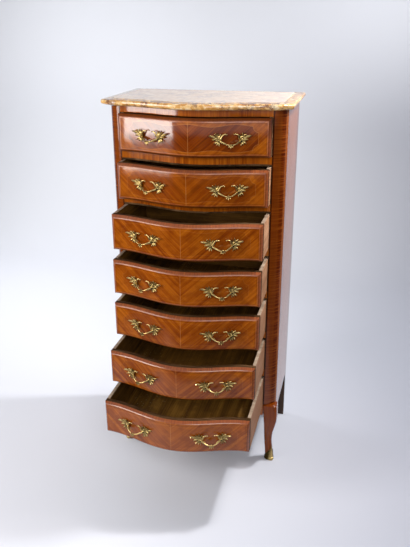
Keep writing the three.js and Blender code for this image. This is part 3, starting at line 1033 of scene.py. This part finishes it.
def frontPost(side, sign):
    # shallow arc from the front flat to the side, closed behind and raised
    start = Vector((halfOpening + post["flat"], 0, 0))
    end = Vector((postHigh.x, postHigh.y, 0))
    chord = end - start
    radius = (chord.length ** 2 / 4 + post["sag"] ** 2) / (2 * post["sag"])
    inward = Vector((-chord.y, chord.x, 0)).normalized()
    centre = (start + end) / 2 + inward * (radius - post["sag"])
    angle = 2 * math.asin(chord.length / 2 / radius)
    bm = bmesh.new()
    first = bm.verts.new(start)
    bmesh.ops.spin(bm, geom=[first], cent=centre, axis=(0, 0, 1), angle=angle,
                   steps=post["segments"], use_merge=False, use_duplicate=False)
    arc = sorted(bm.verts, key=lambda v: v.co.x)
    corner = bm.verts.new((halfOpening, 0, 0))
    rear = bm.verts.new((halfOpening, postHigh.y, 0))
    plan = bm.faces.new([corner] + arc + [rear])
    bmesh.ops.translate(bm, verts=bm.verts, vec=(0, 0, postLow.z))
    raised = bmesh.ops.extrude_face_region(bm, geom=[plan])
    bmesh.ops.translate(bm, verts=newVerts(raised), vec=(0, 0, postHigh.z - postLow.z))
    roundEdges(bm, [e for e in bm.edges if e.calc_face_angle(0) > math.radians(28)], post["arrisRound"])
    addPiece(f"post{side.title()}", bm, ["postBanding"], "case", [f"front_post_{side}"], sign=sign)


panel = {"edgeRound": 0.0012}


def sidePanel(side):
    low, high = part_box(f"side_panel_{side}")
    bm = roundedBox(low, high, panel["edgeRound"])
    addPiece(f"sidePanel{side.title()}", bm, ["sideVeneer"], "case", [f"side_panel_{side}"])


for side, sign in sides.items():
    frontPost(side, sign)
    sidePanel(side)


# legs and shoes

leg = {
    "levelShares": (0, 0.06, 0.16, 0.3, 0.43, 0.57, 0.72, 0.86, 1),
    "widthShares": (0.60, 0.59, 0.57, 0.56, 0.63, 0.79, 0.96, 1.02, 1),
    "swayShares": (0.35, 0.3, 0.1, -0.35, -0.35, 0.05, 0.4, 0.3, 0),
    "width": 0.050,
    "squareness": (2.6, 6.0),  # at the ankle, at the knee
    "toeReach": 0.0050,
    "toeHeight": 0.022,
    "sway": 0.012,
    "centre": (0.268, 0.023),
    "rings": 40,
    "corners": 40,
    "lip": 0.0055,
    "lipReach": 0.0065,
    "collar": 0.0003,  # how far below the apron the leg is trimmed to the post's inner corner
}


def shareAt(shares, level):
    # smooth value between the listed shares
    levels = leg["levelShares"]
    k = 1
    while k < len(levels) - 1 and level > levels[k]:
        k += 1
    t = (level - levels[k - 1]) / (levels[k] - levels[k - 1])
    before = shares[max(k - 2, 0)]
    after = shares[min(k + 1, len(shares) - 1)]
    a, b = shares[k - 1], shares[k]
    startSlope, endSlope = (b - before) / 2, (after - a) / 2
    return (a * (2 * t ** 3 - 3 * t * t + 1) + startSlope * (t ** 3 - 2 * t * t + t)
            + b * (3 * t * t - 2 * t ** 3) + endSlope * (t ** 3 - t * t))


def legRing(bm, z, swell, capped=False):
    # rounded square, squarer at the knee, with a toe that runs out along the diagonal
    level = min(max(z / postLow.z, 0), 1)
    half = leg["width"] * shareAt(leg["widthShares"], level) / 2 + swell
    sway = leg["sway"] * shareAt(leg["swayShares"], level) / math.sqrt(2)
    ankle, knee = leg["squareness"]
    squareness = ankle + (knee - ankle) * max(0, min(1, (level - 0.35) / 0.5))
    toe = leg["toeReach"] * max(0, 1 - z / leg["toeHeight"]) ** 1.5
    made = bmesh.ops.create_circle(bm, cap_ends=capped, segments=leg["corners"], radius=1)
    for vert in made["verts"]:
        angle = math.atan2(vert.co.y, vert.co.x)
        power = abs(math.cos(angle)) ** squareness + abs(math.sin(angle)) ** squareness
        outward = math.exp(-((angle + math.pi / 4) / 0.5) ** 2)
        reach = half * power ** (-1 / squareness) * 0.97 + toe * outward
        vert.co = Vector((leg["centre"][0] + sway + math.cos(angle) * reach,
                          leg["centre"][1] - sway + math.sin(angle) * reach, z))
    return made["verts"]


def frontLeg(side, sign):
    low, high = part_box("front_leg_right")
    apronBottom = panelLow.z
    levels = [low.z + (high.z - leg["lip"] - low.z) * i / leg["rings"] for i in range(leg["rings"] + 1)]
    levels += [apronBottom - leg["collar"] * 2, apronBottom - leg["collar"]]
    bm = bmesh.new()
    rings = []
    for z in sorted(levels):
        rings.append(legRing(bm, z, 0, capped=not rings))
    rings.append(legRing(bm, high.z, -leg["lipReach"], capped=True))
    loft(bm, rings)
    for vert in bm.verts:
        if vert.co.z > apronBottom - leg["collar"] * 1.2:
            vert.co.x = max(vert.co.x, halfOpening)
            vert.co.y = min(vert.co.y, panelLow.y)
    addPiece(f"leg{side.title()}", bm, ["legWood"], "case", [f"front_leg_{side}"], 40, sign)


shoe = {
    "centreOffset": 0.003,
    "wall": 0.0020,
    "cutLevel": 0.024,
    "cutSlope": 1.6,
    "ceiling": 0.064,
    "rings": 26,
    "footFlare": 0.0012,
    "rollRadius": 0.0056,
    "rollReach": 0.0165,
    "rollThickness": 0.0030,
    "rollWidening": 1.6,
    "ridge": (  # out along the diagonal, upward, radius
        (0.0150, 0.012, 0.0040), (0.0148, 0.024, 0.0034), (0.0140, 0.038, 0.0028),
        (0.0132, 0.050, 0.0022), (0.0122, 0.0595, 0.0010),
    ),
    "rib": (
        (0.0118, 0.010, 0.0028), (0.0118, 0.020, 0.0025), (0.0112, 0.030, 0.0020), (0.0108, 0.040, 0.0010),
    ),
    "ribOffset": 0.0065,
}


def sabot(side, sign):
    # cast shoe over the front of the foot, with a rising tongue, two ribs and a rolled toe
    outward = Vector((1, -1, 0)).normalized()
    across = Vector((1, 1, 0)).normalized()
    foot = Vector((leg["centre"][0] + shoe["centreOffset"], leg["centre"][1] - shoe["centreOffset"], 0))
    bm = bmesh.new()
    rings = [legRing(bm, 0, shoe["wall"] * 0.5, capped=True)]
    for i in range(1, shoe["rings"]):
        z = shoe["ceiling"] * i / (shoe["rings"] - 1)
        flare = shoe["footFlare"] * math.exp(-((z - 0.005) / 0.004) ** 2)
        rings.append(legRing(bm, z, shoe["wall"] + flare))
    loft(bm, rings)
    lean = (Vector((0, 0, 1)) - outward * shoe["cutSlope"]).normalized()
    cutPoint = foot + Vector((0, 0, shoe["cutLevel"]))
    bmesh.ops.bisect_plane(bm, geom=everything(bm), plane_co=cutPoint, plane_no=lean, clear_outer=True)
    rim = [e for e in bm.edges if len(e.link_faces) == 1]
    for vert in newVerts(bmesh.ops.extrude_edge_only(bm, edges=rim)):
        middle = Vector((foot.x, foot.y, vert.co.z))
        vert.co += (middle - vert.co).normalized() * shoe["wall"] * 1.6
    roll = foot + outward * shoe["rollReach"]
    turns = []
    for i in range(13):
        angle = math.radians(100 - 36 * i)
        radius = shoe["rollRadius"] * (1 - i / 17)
        out = math.cos(angle) * radius * 0.55 + 0.0015
        up = shoe["rollRadius"] + math.sin(angle) * radius * 0.5
        turns.append(roll + outward * out + Vector((0, 0, up)))
    for vert in sweep(bm, turns, [shoe["rollThickness"] * (1 - i / 22) for i in range(13)], 8, 30):
        vert.co += across * (vert.co - roll).dot(across) * shoe["rollWidening"]
    points = [foot + outward * out + Vector((0, 0, up)) for out, up, radius in shoe["ridge"]]
    sweep(bm, points, [station[2] for station in shoe["ridge"]], 8, 14)
    for offset in (shoe["ribOffset"], -shoe["ribOffset"]):
        points = [foot + outward * out + across * (offset * (1 - k * 0.16)) + Vector((0, 0, up))
                  for k, (out, up, radius) in enumerate(shoe["rib"])]
        sweep(bm, points, [station[2] for station in shoe["rib"]], 7, 10)
    layer = bm.verts.layers.float.new("relief")
    for vert in bm.verts:
        vert[layer] = ((vert.co - foot).dot(outward) - 0.0085) / 0.015
    addPiece(f"shoe{side.title()}", bm, ["gilt"], "case", [f"sabot_{side}"], 45, sign)


rearLeg = {"footShare": 0.6, "rings": 8, "edgeRound": 0.002}


def addRearLeg(side, sign):
    # straight outside and behind, tapered towards the foot on the other two faces
    low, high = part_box("rear_leg_right")
    bm = bmesh.new()
    addBox(bm, low, high)
    upright = [e for e in bm.edges if abs(e.verts[0].co.z - e.verts[1].co.z) > 0.1]
    roundEdges(bm, upright, rearLeg["edgeRound"], 3)
    sliceAcross(bm, 2, low.z, high.z, rearLeg["rings"])
    for vert in bm.verts:
        share = (vert.co.z - low.z) / (high.z - low.z)
        size = rearLeg["footShare"] + (1 - rearLeg["footShare"]) * share * share
        vert.co.x = high.x + (vert.co.x - high.x) * size
        vert.co.y = high.y + (vert.co.y - high.y) * size
    addPiece(f"rearLeg{side.title()}", bm, ["rearLegPaintedShadeWood"], "case", [f"rear_leg_{side}"], sign=sign)


for side, sign in sides.items():
    frontLeg(side, sign)
    sabot(side, sign)
    addRearLeg(side, sign)
print("posts and legs made")


# marble slab

slab = {
    "frontOverhang": 0.034,
    "cornerInset": 0.043,
    "cornerSetback": -0.004,
    "slices": 90,
    "profileUp": (  # how far inward and upward at each step, from the widest line to the top
        (0.0004, 0.0022), (0.0010, 0.0020), (0.0016, 0.0014), (0.0022, 0.0009), (0.0028, 0.0005),
        (0.0080, 0.0006), (0.0080, 0.0004), (0.0070, 0.0003), (0.0006, -0.0003), (0.0007, 0.0),
        (0.0008, 0.0010),
    ),
    "profileDown": (
        (0.0004, 0.0022), (0.0010, 0.0020), (0.0016, 0.0016), (0.0024, 0.0014), (0.0030, 0.0010),
        (0.0016, 0.0008),
    ),
}


def mould(bm, face, profile):
    for step, rise in profile:
        bmesh.ops.inset_region(bm, faces=[face], thickness=step, depth=rise, use_even_offset=True)


def addSlab():
    # plan with a bowed front and canted corners, raised and moulded above and below
    low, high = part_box("marble_top")
    side = high.x
    canted = side - slab["cornerInset"]
    bm = bmesh.new()
    made = bmesh.ops.create_grid(bm, x_segments=slab["slices"], y_segments=1, size=0.5)
    for vert in made["verts"]:
        x = vert.co.x * 2 * side
        if abs(abs(x) - canted) < side / slab["slices"]:
            x = math.copysign(canted, x)
        if vert.co.y > 0:
            vert.co = Vector((x, high.y, 0))
        elif abs(x) <= canted:
            slope = bowSlopeAt(x)
            reach = slab["frontOverhang"] / math.sqrt(1 + slope * slope)
            vert.co = Vector((x + slope * reach, -bowAt(x) - reach, 0))
        else:
            share = (abs(x) - canted) / (side - canted)
            vert.co = Vector((x, -slab["frontOverhang"] * (1 - share) + slab["cornerSetback"] * share, 0))
    face = bmesh.ops.dissolve_faces(bm, faces=bm.faces[:])["region"][0]
    bmesh.ops.dissolve_limit(bm, angle_limit=math.radians(0.4), verts=bm.verts[:], edges=bm.edges[:])
    bottom = low.z + sum(rise for step, rise in slab["profileDown"])
    widest = high.z - sum(rise for step, rise in slab["profileUp"])
    bmesh.ops.translate(bm, verts=bm.verts, vec=(0, 0, bottom))
    raised = bmesh.ops.extrude_face_region(bm, geom=[face])
    top = [g for g in raised["geom"] if isinstance(g, bmesh.types.BMFace)][0]
    bmesh.ops.translate(bm, verts=list(top.verts), vec=(0, 0, widest - bottom))
    bmesh.ops.recalc_face_normals(bm, faces=bm.faces)
    mould(bm, top, slab["profileUp"])
    mould(bm, min(bm.faces, key=lambda f: f.calc_center_median().z), slab["profileDown"])
    addPiece("marbleSlab", bm, ["marble"], "case", ["marble_top"], 38)


addSlab()
print("slab made")


# back boards and the case's inner boards

back = {"boards": 3, "grooveRound": 0.0018, "seam": 0.0001}


def addBack():
    low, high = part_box("back_panel")
    width = (high.x - low.x) / back["boards"]
    bm = bmesh.new()
    for i in range(back["boards"]):
        start = low.x + i * width
        verts = addBox(bm, (start + back["seam"], low.y, low.z),
                       (start + width - back["seam"], high.y, high.z))
        roundEdges(bm, edgesOf(verts), back["grooveRound"], 1)
    addPiece("backBoards", bm, ["backBoard"], "case", ["back_panel"])


addBack()
for name in ("floor_board", "top_board"):
    dressNode(name, "caseBoard")
for side in sides:
    dressNode(f"rear_post_{side}", "backBoard")
print("case made")


# stage and lights

studio = {
    "floorTone": (0.68, 0.70, 0.765),
    "backdropTone": (0.66, 0.675, 0.72),
    # painted shade towards the right and painted light at the upper right of the paper
    "paintedShadeRight": (0.55, 0.55, 0.59),
    "paintedLightUpperRight": (0.86, 0.88, 0.94),
    "floorFront": -3.6,
    "floorSide": 4.0,
    "wallAt": 2.6,
    "wallHeight": 3.4,
    "wallBend": 0.9,
    "cardTone": (0.012, 0.012, 0.012),
    "cardSize": (12.0, 9.7),
    "cardRear": 0.7,
    "cardLevel": 0.002,
    "flagSize": (3.2, 4.0),
    "flagPlace": (2.4, -0.6, 1.6),
    "worldTone": (0.90, 0.93, 1.0),
    "worldLight": (0.06, 0.8),  # in front of the chest and behind it
    "worldSeen": 0.8,
}

lamps = {  # place, aim, size, power, tone, spread in degrees
    "keySoftbox": ((-1.62, -1.38, 1.45), (-0.05, -0.05, 1.20), (0.92, 1.27), 51, (1.0, 0.96, 0.92), 180),
    "rearLamp": ((1.55, 0.85, 3.0), (0.0, -0.1, 0.3), (0.2, 0.2), 58, (1, 1, 1), 180),
    "sideLamp": ((0.80, 0.25, 1.75), (0.29, 0.12, 1.15), (0.25, 0.25), 3.2, (1.0, 0.93, 0.88), 90),
    "frontFill": ((0.9, -2.3, 1.95), (0.0, 0.0, 1.1), (1.2, 1.2), 18, (1, 1, 1), 120),
    "backdropLamp": ((-1.7, 0.9, 2.0), (-1.2, 2.2, 0.2), (1.2, 0.8), 21, (1, 1, 1), 140),
}


def paperFinish():
    # pale paper, with painted shade towards the right and painted light at the upper right
    finish = Finish("seamlessPaper", Roughness=0.9, IOR=1.3)
    x, y, z = finish.place()
    colour = finish.mix(finish.rise(y + z, 0.4, 3.0), studio["floorTone"], studio["backdropTone"])
    # painted shade towards the right
    colour = finish.mix(finish.rise(x, -0.6, 1.6), colour, studio["paintedShadeRight"], "MULTIPLY")
    # painted light at the upper right
    upper = finish.rise(z, 0.7, 1.7) * finish.rise(x, -0.7, 0.7)
    colour = finish.mix(upper, colour, studio["paintedLightUpperRight"])
    return finish.feed(Base_Color=colour)


def blackFinish(name):
    return Finish(name, Base_Color=(*studio["cardTone"], 1), Roughness=1.0, Specular_IOR_Level=0.0)


def cardFinish():
    # black card that gives the varnish something dark to mirror, thinning out towards the chest
    finish = blackFinish("blackCard")
    x, y, z = finish.place()
    ahead = finish.rise(-y, 0.15, 1.15) * 0.55 + finish.rise(-y, 0.95, 1.25) * 0.45
    beside = finish.rise(abs(x), 0.50, 0.85) * (1.0 - finish.rise(y, 0.30, 0.70)) * 0.85
    return finish.feed(Alpha=ahead.high(beside))


def flagFinish():
    # upright black flag that ends softly behind the chest
    finish = blackFinish("blackFlag")
    y = finish.place()[1]
    return finish.feed(Alpha=(1.0 - finish.rise(y, 0.5, 1.4)) * 0.9)


def addCard(name, size, turn, place, finish):
    # a card seen only in reflections
    bm = bmesh.new()
    made = bmesh.ops.create_grid(bm, x_segments=1, y_segments=1, size=0.5)
    bmesh.ops.scale(bm, verts=made["verts"], vec=(*size, 1))
    turned = Matrix.Rotation(math.radians(turn), 3, "Y")
    bmesh.ops.rotate(bm, verts=made["verts"], cent=(0, 0, 0), matrix=turned)
    bmesh.ops.translate(bm, verts=made["verts"], vec=place)
    card = addObject(name, meshFrom(bm, name))
    card.data.materials.append(finish)
    card.visible_camera = False
    card.visible_diffuse = False
    card.visible_shadow = False


def addStage():
    # floor and wall in one sheet of paper, with a round fold between them
    bm = bmesh.new()
    made = bmesh.ops.create_grid(bm, x_segments=1, y_segments=1, size=0.5)
    for vert in made["verts"]:
        vert.co = Vector((vert.co.x * 2 * studio["floorSide"],
                          studio["floorFront"] if vert.co.y < 0 else studio["wallAt"], 0))
    rear = [e for e in bm.edges if e.verts[0].co.y > 0 and e.verts[1].co.y > 0]
    grown = bmesh.ops.extrude_edge_only(bm, edges=rear)
    bmesh.ops.translate(bm, verts=newVerts(grown), vec=(0, 0, studio["wallHeight"]))
    fold = [e for e in bm.edges if all(abs(v.co.z) < 1e-6 and v.co.y > 1 for v in e.verts)]
    roundEdges(bm, fold, studio["wallBend"], 16)
    for face in bm.faces:
        face.smooth = True
    paper = addObject("paper", meshFrom(bm, "paper"))
    paper.data.materials.append(paperFinish())


def addLamp(name, place, aim, size, power, tone, spread):
    data = bpy.data.lights.new(name, "AREA")
    data.shape = "RECTANGLE"
    data.size, data.size_y = size
    data.energy = power
    data.color = tone
    data.spread = math.radians(spread)
    lamp = addObject(name, data)
    lamp.location = place
    lamp.rotation_mode = "QUATERNION"
    lamp.rotation_quaternion = (Vector(aim) - Vector(place)).to_track_quat("-Z", "Y")


def addWorld():
    # dim in front and bright behind, and even where the camera, gloss or glass sees it
    world = bpy.data.worlds.new("studio")
    bpy.context.scene.world = world
    world.use_nodes = True
    wiring = Wiring(world.node_tree)
    background = wiring.tree.nodes["Background"]
    y = wiring.split(wiring.node("ShaderNodeTexCoord", output="Generated"))[1]
    dim, bright = studio["worldLight"]
    light = wiring.node("ShaderNodeMapRange", inputs={
        "Value": y, "From Min": -0.3, "From Max": 0.7, "To Min": dim, "To Max": bright})
    direct, gloss, glass = [wiring.node("ShaderNodeLightPath", output=f"Is {kind} Ray")
                            for kind in ("Camera", "Glossy", "Transmission")]
    strength = wiring.node("ShaderNodeMix", inputs={
        0: direct.high(gloss).high(glass), 2: light, 3: studio["worldSeen"]})
    wiring.tree.links.new(strength.socket, background.inputs["Strength"])
    background.inputs["Color"].default_value = (*studio["worldTone"], 1)


addStage()
middle = studio["cardRear"] - studio["cardSize"][1] / 2
addCard("card", studio["cardSize"], 0, (0, middle, studio["cardLevel"]), cardFinish())
for side, sign in sides.items():
    out, ahead, level = studio["flagPlace"]
    addCard(f"flag{side.title()}", studio["flagSize"], 90, (sign * out, ahead, level), flagFinish())
addWorld()
for name, values in lamps.items():
    addLamp(name, *values)
bpy.context.scene.view_settings.view_transform = "Standard"
print("studio made")
